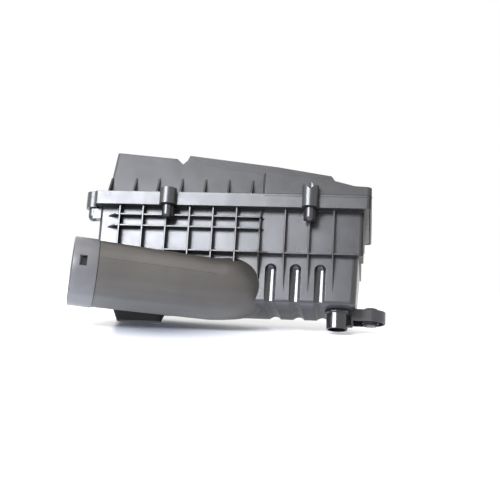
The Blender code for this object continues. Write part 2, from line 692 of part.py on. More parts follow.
def outlet_solid():
    pipe = rod("outlet", (OUTLET_X, 0.060, OUTLET_Z), (OUTLET_X, OUTLET_END_Y, OUTLET_Z), OUTLET_R)
    plate = rod("outlet_plate", (OUTLET_X, OUTLET_FLANGE_Y[0], OUTLET_Z),
                (OUTLET_X, OUTLET_FLANGE_Y[1], OUTLET_Z), OUTLET_R + 0.003)
    ears = [rod("outlet_ear", (OUTLET_X + side * INSERT_OFFSET_X, OUTLET_FLANGE_Y[0], OUTLET_Z),
                (OUTLET_X + side * INSERT_OFFSET_X, OUTLET_FLANGE_Y[1], OUTLET_Z), 0.0075)
            for side in (-1, 1)]
    bridge = box("outlet_bridge", grown((OUTLET_X, OUTLET_X), INSERT_OFFSET_X), OUTLET_FLANGE_Y,
                 grown((OUTLET_Z, OUTLET_Z), 0.0074))
    return add(pipe, plate, *ears, bridge)


def make_cover():
    band = box("band", BAND_X, BAND_Y, (PARTING_Z, BAND_TOP_Z), corner=0.006)
    bosses, bores = screw_bosses()
    insert_holes = [rod("insert_hole", (OUTLET_X + side * INSERT_OFFSET_X, 0.110, OUTLET_Z),
                        (OUTLET_X + side * INSERT_OFFSET_X, 0.130, OUTLET_Z), INSERT_R + GAP, segments=24)
                    for side in (-1, 1)]
    add(band, hood_solid(0.0, BAND_TOP_Z - 0.003), *gussets(), *bosses, outlet_solid())
    skirt_room = box("skirt_room", grown(BAND_X, -SKIRT_T), grown(BAND_Y, -SKIRT_T),
                     (PARTING_Z - 0.01, PLATE_BOTTOM_Z), corner=0.004)
    opening = box("plate_opening", grown(UPPER_X, -0.009), grown(UPPER_Y, -0.008),
                  (PLATE_BOTTOM_Z - 0.002, BAND_TOP_Z + 0.002), corner=0.004)
    outlet_bore = rod("outlet_bore", (OUTLET_X, 0.050, OUTLET_Z), (OUTLET_X, 0.140, OUTLET_Z),
                      OUTLET_BORE_R)
    room = add(hood_solid(WALL, BAND_TOP_Z), skirt_room, opening, outlet_bore)
    cut(band, room, *bores, *insert_holes)
    publish(band, "cover", "casing")


def make_outlet_inserts():
    for label, side in (("left", -1), ("right", 1)):
        x = OUTLET_X + side * INSERT_OFFSET_X
        insert = rod("insert", (x, OUTLET_FLANGE_Y[0], OUTLET_Z),
                     (x, OUTLET_FLANGE_Y[1] + 0.0005, OUTLET_Z), INSERT_R, segments=24)
        cut(insert, rod("insert_bore", (x, 0.110, OUTLET_Z), (x, 0.130, OUTLET_Z), 0.0019, segments=16))
        publish(insert, f"outlet_insert_{label}", "brass")


def make_screws():
    for name, x, y, _ in SCREW_SITES:
        seat = SCREW_SEAT_Z + GAP
        shaft = rod("shank", (x, y, 0.1385), (x, y, seat + 0.001), SHANK_R, segments=16)
        washer = rod("washer_face", (x, y, seat), (x, y, seat + 0.0015), 0.0060, segments=24)
        hexagon = rod("hexagon", (x, y, seat + 0.0010), (x, y, seat + 0.0058), 0.0046, segments=6)
        publish(add(shaft, washer, hexagon), f"cover_screw_{name}", "steel")


def make_boss_sleeves():
    """Steel limiter sleeve in each of the cover's bosses."""
    ring = [(0.0030, SCREW_SEAT_Z - GAP), (0.0040, SCREW_SEAT_Z - GAP), (0.0040, BOSS_BOTTOM_Z + GAP),
            (0.0030, BOSS_BOTTOM_Z + GAP)]
    for name, x, y, _ in SCREW_SITES:
        publish(disc_lathe("sleeve", ring, (x, y), segments=16), f"boss_sleeve_{name}", "steel")


def hang(name, position, prefixes, parent):
    """Parent the pieces whose names start so to an empty on their joint's axis, without moving them."""
    pivot = bpy.data.objects.new(name, None)
    bpy.context.scene.collection.objects.link(pivot)
    pivot.location = position
    pivot.parent = parent
    bpy.context.view_layer.update()
    for item in PARTS.objects:
        if item.name.startswith(prefixes):
            item.parent = pivot
            item.matrix_parent_inverse = pivot.matrix_world.inverted()
    return pivot


def place_pieces():
    """Hang the moving groups on their pivots, and everything on the middle of the base."""
    base = hang("base", (0.0, 0.0, 0.0), ("lower_casing", "collar_seal", "snow_screen", "drain_spigot",
                                          "mount_"), None)
    lift = hang("cover_pivot", (0.0, 0.0, PARTING_Z), ("cover", "outlet_insert", "boss_sleeve"), base)
    for name, x, y, _ in SCREW_SITES:
        hang(f"screw_pivot_{name}", (x, y, SCREW_SEAT_Z), (f"cover_screw_{name}",), lift)
    hang("filter_pivot", (0.0, 0.0, RIM_Z[0]), ("filter",), base)
    hang("collar_pivot", along_duct(0.0), ("intake_collar",), base)
    for cutter in CUTTERS.objects:
        cutter.parent = base
    base.location = (-BASE_MIDDLE[0], -BASE_MIDDLE[1], 0.0)


make_lower_casing()
make_intake_collar()
make_collar_seal()
make_snow_screen()
make_drain_spigot()
make_mount()
make_filter()
make_cover()
make_outlet_inserts()
make_screws()
make_boss_sleeves()
place_pieces()
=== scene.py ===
"""Looks of the air filter housing: moulded black plastic under plain studio light.

Metres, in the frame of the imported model. The tub, the cover, the drain spigot, the lug's sleeve
and the element's rim are their nodes' solids with rounded edges. The collar, the rubber bush, the
screws and the pleated paper are modelled anew. The collar's seal, the snow screen, the threaded
inserts and the limiter sleeves are carried over. All of them have procedural materials.
"""
from math import cos, pi, radians, sin

import bmesh
import bpy
from mathutils import Matrix, Vector


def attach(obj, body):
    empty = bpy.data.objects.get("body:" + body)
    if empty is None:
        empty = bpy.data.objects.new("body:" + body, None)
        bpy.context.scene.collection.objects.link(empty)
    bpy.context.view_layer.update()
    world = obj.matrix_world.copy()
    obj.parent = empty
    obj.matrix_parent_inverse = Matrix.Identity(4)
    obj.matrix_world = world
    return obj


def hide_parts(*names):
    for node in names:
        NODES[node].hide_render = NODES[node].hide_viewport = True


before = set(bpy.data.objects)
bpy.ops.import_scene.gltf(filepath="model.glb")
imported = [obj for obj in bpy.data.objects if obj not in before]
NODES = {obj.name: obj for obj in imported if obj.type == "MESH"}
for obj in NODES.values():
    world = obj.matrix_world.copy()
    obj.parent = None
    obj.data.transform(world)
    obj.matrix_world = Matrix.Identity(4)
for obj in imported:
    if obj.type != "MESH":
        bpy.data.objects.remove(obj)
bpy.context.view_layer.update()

SCREWS = ("front_left", "front_right", "left_end", "rear_left", "rear_right")

# Camera: where it stands round the housing, its roll, what it looks at, and its lens in mm
CAMERA_AZIMUTH, CAMERA_ELEVATION, CAMERA_ROLL = radians(6.9), radians(-15.6), radians(3.3)
CAMERA_TARGET = Vector((0.020, 0.0166, 0.112))
CAMERA_DISTANCE = 1.5
CAMERA_LENS, CAMERA_SENSOR = 79.2, 36.0

# Intake: its axis, from the collar's seam to the bend, then the collar and its windows
YAW, FALL = radians(18.0), radians(1.6)
INWARD = Vector((cos(YAW) * cos(FALL), sin(YAW) * cos(FALL), -sin(FALL)))
ACROSS = Vector((sin(YAW), -cos(YAW), 0.0))
OVER = INWARD.cross(ACROSS).normalized() * -1.0
BEND_START = Vector((-0.019965, -0.046872, 0.0406))
SEAM_DISTANCE = 0.150
SEAM = BEND_START - INWARD * SEAM_DISTANCE
BEND_R, BEND_RISE = 0.045, 0.28
BEND_CENTRE = BEND_START - ACROSS * BEND_R
COLLAR_R, COLLAR_BORE_R = 0.0440, 0.0412
COLLAR_SPAN = (0.0003, 0.031)            # from the seam outwards
COLLAR_STEPS = 120
COLLAR_ROUND = 0.0006
WINDOW_SPAN = (0.01385, 0.02335)
WINDOW_ANGLE, WINDOW_HALF = radians(7.7), 0.1307
WINDOW_CLEARANCE = 0.012                 # no other step of the ring is nearer to a window's side
DUCT_SKIN_R = 0.0445
DUCT_END_X = 0.060
DUCT_FACING = 0.2                        # least share of the radius in a duct face's normal
MOULD_LINE_START = 0.003                 # from the seam inwards
MOULD_LINE_R = (0.0428, 0.0402)          # at the seam and at the bend
MOULD_LINE_ANGLE = radians(16.0)
MOULD_LINE_STEPS = 12
MOULD_LINE_SECTION = ((-0.0004, -0.0004), (0.0, 0.00022), (0.0004, -0.0004))

# Flutes in the front wall
FLUTES = (0.055835, 0.088035, 0.120035)
FLUTE_HALF = 0.0080
FLUTE_TOP_Z = 0.078
FLUTE_BACK_Y = -0.0379
FLUTE_DEPTH = 0.006
FLUTE_SIDE_FACING = 0.05                 # least share of X in the normal of a flute's side

# Finishes of the lower casing's faces, and where painted shade goes: a darker, duller copy of the plastic
WALL_FACE, DUCT_FACE, POLISHED_FACE, PAINTED_SHADE_FACE = range(4)
FOOT_TOP_Z, FOOT_END_X = 0.024, -0.070
END_WALL_X, END_WALL_Z = 0.160, 0.095
COVER_END_X = 0.180
END_FACING = 0.7                         # least share of X in the normal of a right end's face

# Rubber bush
BUSH_BORE_R, BUSH_WAIST_R, BUSH_RIM_R = 0.0058, 0.0080, 0.0098
BUSH_SIDES = 80
SCALLOPS, SCALLOP_DEPTH = 10, 0.06

# Captive screws, from the head down
HEAD_HEIGHT, HEAD_CORNER_R = 0.0058, 0.0046
FLANGE_RINGS, HEXAGON_RINGS = 4, 3
SHANK_R, CORE_R, CREST_R = 0.0024, 0.0021, 0.0025
THREAD_PITCH = 0.0008
THREAD_END = 0.010                       # below the head
SCREW_SIDES = 24
TIP_R = 0.0002

# Pleated paper: folds, the sheet's upright thickness, and the rounding of a fold
PLEATS = 78
PAPER_RISE = 0.0085
FOLD_REACH, FOLD_DIP = 0.30, 0.0012

# The room: the housing lies tipped back, so "up" in the room leans over the parting plane.
LEAN = radians(18.5)
ROLL = 0.0232
ROOM_UP = Vector((ROLL, -sin(LEAN), cos(LEAN))).normalized()
ROOM_BACK = Vector((0.0, cos(LEAN), sin(LEAN))).normalized()
ROOM_RIGHT = ROOM_BACK.cross(ROOM_UP).normalized()
FLOOR_RISE = -0.0002                     # floor plane's distance from the origin along ROOM_UP
FLOOR_HALF = 1.1
FLOOR_FADE = (0.40, 0.95)                # distances from the origin
SHADE_CENTRE = (-0.085, -0.050, -0.02)   # painted shadow: darker paint near the rest foot
SHADE_REACH = (0.02, 0.16)
SHADE_COLOUR, TABLE_COLOUR = (0.26, 0.28, 0.32), (0.80, 0.80, 0.82)
LIGHTS_AIM_UP = 0.10
SKY = ((0.10, (0.05, 0.05, 0.06)), (0.36, (0.04, 0.04, 0.05)), (0.46, (0.45, 0.45, 0.45)),
       (0.72, (0.54, 0.53, 0.52)), (0.90, (0.36, 0.35, 0.34)))
SKY_STRENGTH = 3.2

# A Mix node's colour sockets
MIX_FIRST, MIX_SECOND, MIX_RESULT = 6, 7, 2


def in_room(right, back, up):
    """A place given in the room's own directions."""
    return ROOM_RIGHT * right + ROOM_BACK * back + ROOM_UP * (up + FLOOR_RISE)


# ---------------------------------------------------------------- camera

def make_camera():
    azimuth, elevation, roll = CAMERA_AZIMUTH, CAMERA_ELEVATION, CAMERA_ROLL
    back = Vector((sin(azimuth) * cos(elevation), -cos(azimuth) * cos(elevation), sin(elevation)))
    level = Vector((cos(azimuth), sin(azimuth), 0.0))
    upright = back.cross(level)
    right = cos(roll) * level + sin(roll) * upright
    up = cos(roll) * upright - sin(roll) * level
    data = bpy.data.cameras.new("camera")
    data.sensor_width = CAMERA_SENSOR
    data.lens = CAMERA_LENS
    camera = bpy.data.objects.new("camera", data)
    bpy.context.scene.collection.objects.link(camera)
    turn = Matrix((right, up, back)).transposed().to_4x4()
    camera.matrix_world = Matrix.Translation(CAMERA_TARGET + back * CAMERA_DISTANCE) @ turn
    bpy.context.scene.camera = camera


# ---------------------------------------------------------------- materials

class Shader:
    """A node tree being filled in, with short calls for the nodes used here."""

    def __init__(self, name):
        self.material = bpy.data.materials.new(name)
        self.material.use_nodes = True
        self.tree = self.material.node_tree
        self.bsdf = self.tree.nodes["Principled BSDF"]
        self.place = self.add("ShaderNodeTexCoord").outputs["Object"]

    def add(self, kind, **settings):
        node = self.tree.nodes.new(kind)
        for key, value in settings.items():
            setattr(node, key, value)
        return node

    def link(self, source, target):
        self.tree.links.new(source, target)

    def noise(self, scale, detail=2.0, roughness=0.5, place=None):
        node = self.add("ShaderNodeTexNoise")
        node.inputs["Scale"].default_value = scale
        node.inputs["Detail"].default_value = detail
        node.inputs["Roughness"].default_value = roughness
        self.link(place or self.place, node.inputs["Vector"])
        return node.outputs["Fac"]

    def ranged(self, value, low, high, from_low=0.3, from_high=0.7):
        node = self.add("ShaderNodeMapRange")
        node.inputs["From Min"].default_value = from_low
        node.inputs["From Max"].default_value = from_high
        node.inputs["To Min"].default_value = low
        node.inputs["To Max"].default_value = high
        self.link(value, node.inputs["Value"])
        return node.outputs["Result"]

    def blend(self, factor, first, second):
        node = self.add("ShaderNodeMix", data_type="RGBA")
        self.link(factor, node.inputs["Factor"])
        for socket, colour in ((node.inputs[MIX_FIRST], first), (node.inputs[MIX_SECOND], second)):
            if isinstance(colour, tuple):
                socket.default_value = (*colour, 1.0)
            else:
                self.link(colour, socket)
        return node.outputs[MIX_RESULT]

    def bump(self, height, distance, under=None):
        node = self.add("ShaderNodeBump")
        node.inputs["Strength"].default_value = 1.0
        node.inputs["Distance"].default_value = distance
        self.link(height, node.inputs["Height"])
        if under:
            self.link(under, node.inputs["Normal"])
        return node.outputs["Normal"]

    def set(self, **values):
        """Set or link inputs of the shader by name, with _ for a space."""
        for key, value in values.items():
            socket = self.bsdf.inputs[key.replace("_", " ")]
            if hasattr(value, "is_output"):
                self.link(value, socket)
            else:
                socket.default_value = value


def moulded(name, dark, light, rough_low, rough_high, grain=0.00003, specular=0.5):
    """Moulded plastic: fine grain, slow waviness of the wall, and dust-dulled patches."""
    shader = Shader(name)
    patches = shader.noise(scale=16.0, detail=4.0, roughness=0.6)
    handling = shader.noise(scale=55.0, detail=5.0, roughness=0.65)
    colour = shader.blend(shader.ranged(patches, low=0.0, high=1.0), dark, light)
    waves = shader.bump(shader.noise(scale=28.0, detail=1.0), distance=0.00035)
    skin = shader.bump(shader.noise(scale=2600.0, detail=2.0), distance=grain, under=waves)
    dulled = shader.ranged(handling, rough_low, rough_high)
    shader.set(Base_Color=colour, Roughness=dulled, Normal=skin, Specular_IOR_Level=specular)
    return shader.material


def rubber(name, colour):
    """Rubber with a fine grain and a dusty bloom in patches."""
    shader = Shader(name)
    dusty = tuple(part * 2.2 + 0.01 for part in colour)
    patches = shader.noise(scale=120.0, detail=5.0)
    bloom = shader.blend(shader.ranged(patches, low=0.0, high=1.0, from_low=0.45, from_high=0.8),
                         colour, dusty)
    shader.set(Base_Color=bloom,
               Roughness=shader.ranged(shader.noise(scale=300.0), low=0.6, high=0.85),
               Normal=shader.bump(shader.noise(scale=1800.0, detail=3.0), distance=0.00006),
               Specular_IOR_Level=0.3)
    return shader.material


def foam(name, colour):
    """Cut foam: open cells as small pits, painted darker in their hollows as painted shade."""
    shader = Shader(name)
    cells = shader.add("ShaderNodeTexVoronoi")
    cells.inputs["Scale"].default_value = 900.0
    shader.link(shader.place, cells.inputs["Vector"])
    depth = shader.ranged(cells.outputs["Distance"], low=0.0, high=1.0, from_low=0.0, from_high=0.7)
    # painted shade: the colour is darker towards each pit's middle
    lighter = tuple(part * 1.7 for part in colour)
    shader.set(Base_Color=shader.blend(depth, colour, lighter), Roughness=0.92,
               Normal=shader.bump(depth, distance=0.00025), Specular_IOR_Level=0.15)
    return shader.material


def filter_paper(name):
    """Resin-treated paper: fibres and a little dust."""
    shader = Shader(name)
    fibres = shader.noise(scale=1400.0, detail=6.0, roughness=0.7)
    dust = shader.noise(scale=40.0, detail=4.0)
    resin, bleached, grey_dust = (0.60, 0.49, 0.27), (0.78, 0.68, 0.44), (0.35, 0.32, 0.27)
    base = shader.blend(shader.ranged(fibres, low=0.0, high=1.0), resin, bleached)
    dusted = shader.blend(shader.ranged(dust, low=0.0, high=0.35, from_low=0.5, from_high=0.8),
                          base, grey_dust)
    shader.set(Base_Color=dusted, Roughness=0.9, Normal=shader.bump(fibres, distance=0.00012),
               Specular_IOR_Level=0.2)
    return shader.material


def metal(name, colour, rough_low, rough_high, streak):
    """Plated metal with turning marks and dull patches."""
    shader = Shader(name)
    stretch = shader.add("ShaderNodeMapping")
    stretch.inputs["Scale"].default_value = streak
    shader.link(shader.place, stretch.inputs["Vector"])
    marks = shader.noise(scale=900.0, detail=3.0, place=stretch.outputs["Vector"])
    patches = shader.noise(scale=220.0, detail=4.0)
    dull = tuple(part * 0.72 for part in colour)
    dulled = shader.ranged(patches, low=0.0, high=1.0, from_low=0.4, from_high=0.75)
    shader.set(Base_Color=shader.blend(dulled, colour, dull), Metallic=1.0,
               Roughness=shader.ranged(marks, rough_low, rough_high),
               Normal=shader.bump(marks, distance=0.00002))
    return shader.material


CASING = moulded("casing_plastic", (0.008, 0.008, 0.010), (0.013, 0.013, 0.015), 0.27, 0.35)
COVER = moulded("cover_plastic", (0.010, 0.010, 0.011), (0.015, 0.015, 0.016), 0.30, 0.38)
# duct: a warmer tone of the same plastic, made lighter than the walls as painted light thrown up from the
# table
DUCT_TONE_AND_PAINTED_LIGHT = moulded("duct_plastic_tone_and_painted_light", (0.024, 0.022, 0.020), (0.034, 0.031, 0.028), 0.34, 0.42)
POLISHED = moulded("polished_plastic", (0.006, 0.006, 0.008), (0.010, 0.010, 0.012), 0.16, 0.24,
                   grain=0.000006)
COLLAR = moulded("collar_plastic", (0.050, 0.050, 0.053), (0.066, 0.066, 0.070), 0.36, 0.44)
# painted shade: a darker, duller copy of the plastic for faces that lie in shade (foot, neck behind the
# collar's windows, right ends)
PAINTED_SHADE = moulded("painted_shade_plastic", (0.006, 0.006, 0.006), (0.009, 0.009, 0.009), 0.45, 0.60,
               specular=0.22)
RUBBER = rubber("bush_rubber", (0.016, 0.016, 0.016))
FOAM = foam("seal_foam", (0.045, 0.048, 0.055))
PAPER = filter_paper("element_paper")
STEEL = metal("zinc_steel", (0.60, 0.61, 0.63), 0.22, 0.40, (1.0, 1.0, 8.0))
BRASS = metal("brass", (0.72, 0.52, 0.24), 0.22, 0.38, (1.0, 8.0, 1.0))


# ---------------------------------------------------------------- rounded shells

def nearest_on_duct(point):
    """The closest place on the intake's axis: straight, then round its climbing elbow."""
    distance = (point - SEAM).dot(INWARD)
    if distance < SEAM_DISTANCE:
        return SEAM + INWARD * distance
    radial = point - BEND_CENTRE
    radial.z = 0.0
    place = BEND_CENTRE + radial.normalized() * BEND_R
    place.z += (place.y - BEND_START.y) * BEND_RISE
    return place


def link(piece):
    bpy.context.scene.collection.objects.link(piece)
    return piece


def shaded(mesh, angle=32.0):
    mesh.shade_smooth()
    mesh.set_sharp_from_angle(angle=radians(angle))


def clean_copy(node):
    """The node's solid as whole flat faces, ready for its edges to be rounded."""
    shape = bmesh.new()
    shape.from_mesh(NODES[node].data)
    bmesh.ops.remove_doubles(shape, verts=shape.verts, dist=2e-6)
    bmesh.ops.dissolve_limit(shape, angle_limit=radians(0.6), verts=shape.verts, edges=shape.edges)
    mesh = bpy.data.meshes.new(node + "_shell")
    shape.to_mesh(mesh)
    shape.free()
    mesh.materials.clear()
    return mesh


def rounded(node, body, materials, width=0.0004, choose=None):
    """Replace a node by the same solid with small radii on its edges."""
    mesh = clean_copy(node)
    for material in materials:
        mesh.materials.append(material)
    for face in mesh.polygons:
        face.material_index = choose(face) if choose else 0
    shaded(mesh)
    piece = link(bpy.data.objects.new(node + "_shell", mesh))
    bevel = piece.modifiers.new("radii", "BEVEL")
    bevel.width = width
    bevel.segments = 2
    bevel.limit_method = "ANGLE"
    bevel.angle_limit = radians(35)
    bevel.use_clamp_overlap = False
    weighted = piece.modifiers.new("flat_faces", "WEIGHTED_NORMAL")
    weighted.weight = 100
    weighted.keep_sharp = True
    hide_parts(node)
    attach(piece, body)


def casing_area(face):
    """Which moulded finish a face of the lower casing has: walls, duct (a warmer copy, lighter as painted
    light from below), polished, or painted shade (a darker, duller copy).
    """
    x, y, z = face.center
    # painted shade on the neck seen through the collar's windows
    if (face.center - SEAM).dot(INWARD) < 0.0 and z < END_WALL_Z:
        return PAINTED_SHADE_FACE
    outward = face.center - nearest_on_duct(face.center)
    facing_out = face.normal.dot(outward) > DUCT_FACING * outward.length
    # the duct's faces get the lighter copy: painted light from below
    if x < DUCT_END_X and outward.length < DUCT_SKIN_R and facing_out:
        return DUCT_FACE
    in_flute = z < FLUTE_TOP_Z and any(abs(x - flute) < FLUTE_HALF for flute in FLUTES)
    if in_flute and y < FLUTE_BACK_Y:
        is_side = abs(face.normal.x) > FLUTE_SIDE_FACING
        return POLISHED_FACE if is_side and abs(y - FLUTE_BACK_Y) < FLUTE_DEPTH else WALL_FACE
    # painted shade on the rest foot
    if z < FOOT_TOP_Z and x < FOOT_END_X:
        return PAINTED_SHADE_FACE
    # painted shade on the shadowed right end walls
    if x > END_WALL_X and face.normal.x > END_FACING and z > END_WALL_Z:
        return PAINTED_SHADE_FACE
    return WALL_FACE


def cover_area(face):
    """Which finish a face of the cover has: 1, painted shade (a darker, duller copy of the plastic), on
    its right end, and 0 elsewhere.
    """
    return 1 if face.center.x > COVER_END_X and face.normal.x > END_FACING else 0


def make_shells():
    rounded("lower_casing", "casing", [CASING, DUCT_TONE_AND_PAINTED_LIGHT, POLISHED, PAINTED_SHADE], choose=casing_area)
    rounded("cover", "cover", [COVER, PAINTED_SHADE], choose=cover_area)
    rounded("drain_spigot", "casing", [POLISHED])
    rounded("mount_sleeve", "casing", [STEEL], width=0.0002)
    rounded("filter_seal", "filter", [FOAM], width=0.0015)


def finished(shape, name, material, node, body):
    """Turn mesh data into a piece; it stands in for a node, or is added detail where node is None."""
    bmesh.ops.recalc_face_normals(shape, faces=shape.faces)
    mesh = bpy.data.meshes.new(name)
    shape.to_mesh(mesh)
    shape.free()
    mesh.materials.append(material)
    shaded(mesh, 38.0)
    piece = link(bpy.data.objects.new(name, mesh))
    if node:
        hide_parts(node)
    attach(piece, body)


def node_box(node):
    """Low and high corners of a node, in the shared frame."""
    item = NODES[node]
    corners = [item.matrix_world @ Vector(corner) for corner in item.bound_box]
    return (Vector(min(corner[axis] for corner in corners) for axis in range(3)),
            Vector(max(corner[axis] for corner in corners) for axis in range(3)))


def turned(shape, centre, rings, form, sides):
    """Skin between level rings of (radius, z) about an upright axis; form bends a ring's radius."""
    loops = []
    for index, (radius, z) in enumerate(rings):
        loop = []
        for side in range(sides):
            angle = 2 * pi * side / sides
            reach = radius * form(index, angle)
            loop.append(shape.verts.new((centre.x + reach * cos(angle), centre.y + reach * sin(angle), z)))
        loops.append(loop)
    for lower, upper in zip(loops, loops[1:]):
        for side in range(sides):
            after = (side + 1) % sides
            shape.faces.new((lower[side], lower[after], upper[after], upper[side]))
    return loops


def make_collar():
    """Ring clipped over the duct's neck, with a latch window through each side."""
    shape = bmesh.new()
    windows = (WINDOW_ANGLE, pi - WINDOW_ANGLE)
    angles = {round(2 * pi * step / COLLAR_STEPS, 6) for step in range(COLLAR_STEPS)}
    for middle in windows:
        angles = {angle for angle in angles
                  if abs(abs(angle - middle) - WINDOW_HALF) > WINDOW_CLEARANCE}
        angles |= {middle - WINDOW_HALF, middle + WINDOW_HALF}
    angles = sorted(angle % (2 * pi) for angle in angles)
    start, end = COLLAR_SPAN
    soft, softer = COLLAR_ROUND, COLLAR_ROUND * 0.3
    places = (start, start + softer, start + soft, *WINDOW_SPAN, end - soft, end - softer, end)
    trims = (soft, softer, 0.0, 0.0, 0.0, 0.0, softer, soft)
    window_level = places.index(WINDOW_SPAN[0])

    def ring(radius, place):
        return [shape.verts.new(SEAM - INWARD * place + (ACROSS * cos(angle) + OVER * sin(angle)) * radius)
                for angle in angles]

    outer = [ring(COLLAR_R - trim, place) for place, trim in zip(places, trims)]
    inner = [ring(COLLAR_BORE_R, place) for place in places]

    def open_at(level, side):
        middle = (angles[side] + angles[(side + 1) % len(angles)]) / 2
        return level == window_level and any(abs(middle - window) < WINDOW_HALF for window in windows)

    for side in range(len(angles)):
        after = (side + 1) % len(angles)
        for level in range(len(places) - 1):
            if open_at(level, side):
                for rail in (level, level + 1):
                    shape.faces.new((outer[rail][side], outer[rail][after], inner[rail][after],
                                     inner[rail][side]))
                for edge, beyond in ((side, side - 1), (after, after)):
                    if not open_at(level, beyond):
                        shape.faces.new((outer[level][edge], outer[level + 1][edge],
                                         inner[level + 1][edge], inner[level][edge]))
                continue
            for skin in (outer, inner):
                shape.faces.new((skin[level][side], skin[level][after], skin[level + 1][after],
                                 skin[level + 1][side]))
        for level in (0, -1):
            shape.faces.new((outer[level][side], outer[level][after], inner[level][after],
                             inner[level][side]))
    finished(shape, "intake_collar_ring", COLLAR, "intake_collar", "collar")


def make_grommet():
    """Rubber bush with scalloped collars above and below the lug."""
    low, high = node_box("mount_grommet")
    centre = (low + high) / 2
    bore, waist, rim = BUSH_BORE_R, BUSH_WAIST_R, BUSH_RIM_R
    upper = [(bore, high.z - 0.0006), (bore + 0.0006, high.z)]
    upper_rim = [(rim - 0.0016, high.z), (rim - 0.0005, high.z - 0.0006), (rim, high.z - 0.0016),
                 (rim, high.z - 0.0032)]
    groove = [(rim - 0.0004, high.z - 0.0041), (waist, high.z - 0.0042), (waist, low.z + 0.0030),
              (rim - 0.0004, low.z + 0.0029)]
    lower_rim = [(rim, low.z + 0.0022), (rim, low.z + 0.0010), (rim - 0.0006, low.z + 0.0002)]
    lower = [(rim - 0.0014, low.z), (bore + 0.0006, low.z), (bore, low.z + 0.0006)]
    rings = upper + upper_rim + groove + lower_rim + lower
    scalloped = [index for index, ring in enumerate(rings) if ring in upper_rim + lower_rim]

    def scallop(index, angle):
        if index not in scalloped:
            return 1.0
        return 1.0 - SCALLOP_DEPTH * (0.5 - 0.5 * cos(SCALLOPS * angle)) ** 3

    shape = bmesh.new()
    loops = turned(shape, centre, rings, scallop, BUSH_SIDES)
    for side in range(BUSH_SIDES):
        after = (side + 1) % BUSH_SIDES
        shape.faces.new((loops[-1][side], loops[-1][after], loops[0][after], loops[0][side]))
    finished(shape, "mount_bush", RUBBER, "mount_grommet", "casing")


def make_screw(name):
    """Captive screw: flanged hexagon head with a chamfered crown and a dimple, and a rolled thread."""
    low, high = node_box(f"cover_screw_{name}")
    centre = (low + high) / 2
    seat = high.z - HEAD_HEIGHT
    flat = HEAD_CORNER_R * cos(pi / 6)
    flange = [(0.0057, seat), (0.0060, seat + 0.0002), (0.0060, seat + 0.0009),
              (0.0052, seat + 0.0014)]
    crown = [(flat, seat + 0.0016), (flat, high.z - 0.0006), (flat * 0.92, high.z),
             (flat * 0.62, high.z), (flat * 0.42, high.z - 0.0008), (TIP_R, high.z - 0.0009)]
    shank = [(TIP_R, low.z), (0.0016, low.z)]
    turn = low.z + 0.0012
    while turn < seat - THREAD_END:
        shank += [(CORE_R, turn), (CREST_R, turn + 0.0003), (CREST_R, turn + 0.0004)]
        turn += THREAD_PITCH
    shank += [(0.0022, turn), (SHANK_R, turn + 0.0006), (SHANK_R, seat)]
    rings = shank + flange + crown
    first = len(shank) + FLANGE_RINGS

    def hexagon(index, angle):
        if first <= index < first + HEXAGON_RINGS:
            return 1.0 / cos((angle + pi / 6) % (pi / 3) - pi / 6)
        return 1.0

    shape = bmesh.new()
    loops = turned(shape, centre, rings, hexagon, SCREW_SIDES)
    shape.faces.new(loops[0])
    shape.faces.new(loops[-1])
    finished(shape, f"captive_screw_{name}", STEEL, f"cover_screw_{name}", f"screw_{name}")


def make_paper():
    """Pleated pack: one folded sheet with rounded folds."""
    low, high = node_box("filter_media")
    fold = (high.x - low.x) / (2 * PLEATS)
    line = []
    for index in range(2 * PLEATS + 1):
        x = low.x + fold * index
        top = index % 2 == 1
        z = high.z - PAPER_RISE if top else low.z
        dip = -FOLD_DIP if top else FOLD_DIP
        for shift, lift in ((-FOLD_REACH, dip), (0.0, 0.0), (FOLD_REACH, dip)):
            line.append((min(max(x + shift * fold, low.x), high.x), z + lift))
    shape = bmesh.new()
    rows = [[shape.verts.new((x, y, z + lift)) for x, z in line]
            for y in (low.y, high.y) for lift in (0.0, PAPER_RISE)]
    for index in range(len(line) - 1):
        if line[index + 1][0] - line[index][0] < 1e-7:
            continue
        for first, second in ((0, 1), (1, 3), (3, 2), (2, 0)):
            shape.faces.new((rows[first][index], rows[first][index + 1], rows[second][index + 1],
                             rows[second][index]))
    bmesh.ops.remove_doubles(shape, verts=shape.verts, dist=1e-7)
    bmesh.ops.holes_fill(shape, edges=shape.edges)
    finished(shape, "pleated_pack", PAPER, "filter_media", "filter")


def make_mould_line():
    """Faint parting line along the front of the duct."""
    shape = bmesh.new()
    facing = ACROSS * cos(MOULD_LINE_ANGLE) + OVER * sin(MOULD_LINE_ANGLE)
    side = INWARD.cross(facing).normalized()
    near_r, far_r = MOULD_LINE_R
    rows = []
    for step in range(MOULD_LINE_STEPS + 1):
        distance = MOULD_LINE_START + (SEAM_DISTANCE - MOULD_LINE_START) * step / MOULD_LINE_STEPS
        radius = near_r + (far_r - near_r) * distance / SEAM_DISTANCE
        middle = SEAM + INWARD * distance
        rows.append([shape.verts.new(middle + facing * (radius + lift) + side * shift)
                     for shift, lift in MOULD_LINE_SECTION])
    for first, second in zip(rows, rows[1:]):
        for index in range(len(first)):
            after = (index + 1) % len(first)
            shape.faces.new((first[index], first[after], second[after], second[index]))
    shape.faces.new(rows[0])
    shape.faces.new(rows[-1])
    # the duct's lighter colour, painted light, carries over to the mould line
    finished(shape, "duct_mould_line", DUCT_TONE_AND_PAINTED_LIGHT, None, "casing")


def make_details():
    make_collar()
    make_grommet()
    make_paper()
    make_mould_line()
    for name in SCREWS:
        make_screw(name)


def dress_nodes():
    """Carried-over nodes keep their shape and get a full material."""
    looks = {"collar_seal": RUBBER, "snow_screen": POLISHED,
             "outlet_insert_left": BRASS, "outlet_insert_right": BRASS}
    for name in SCREWS:
        looks[f"boss_sleeve_{name}"] = STEEL
    for node, material in looks.items():
        mesh = NODES[node].data
        mesh.materials.clear()
        mesh.materials.append(material)
        shaded(mesh)


# ---------------------------------------------------------------- room

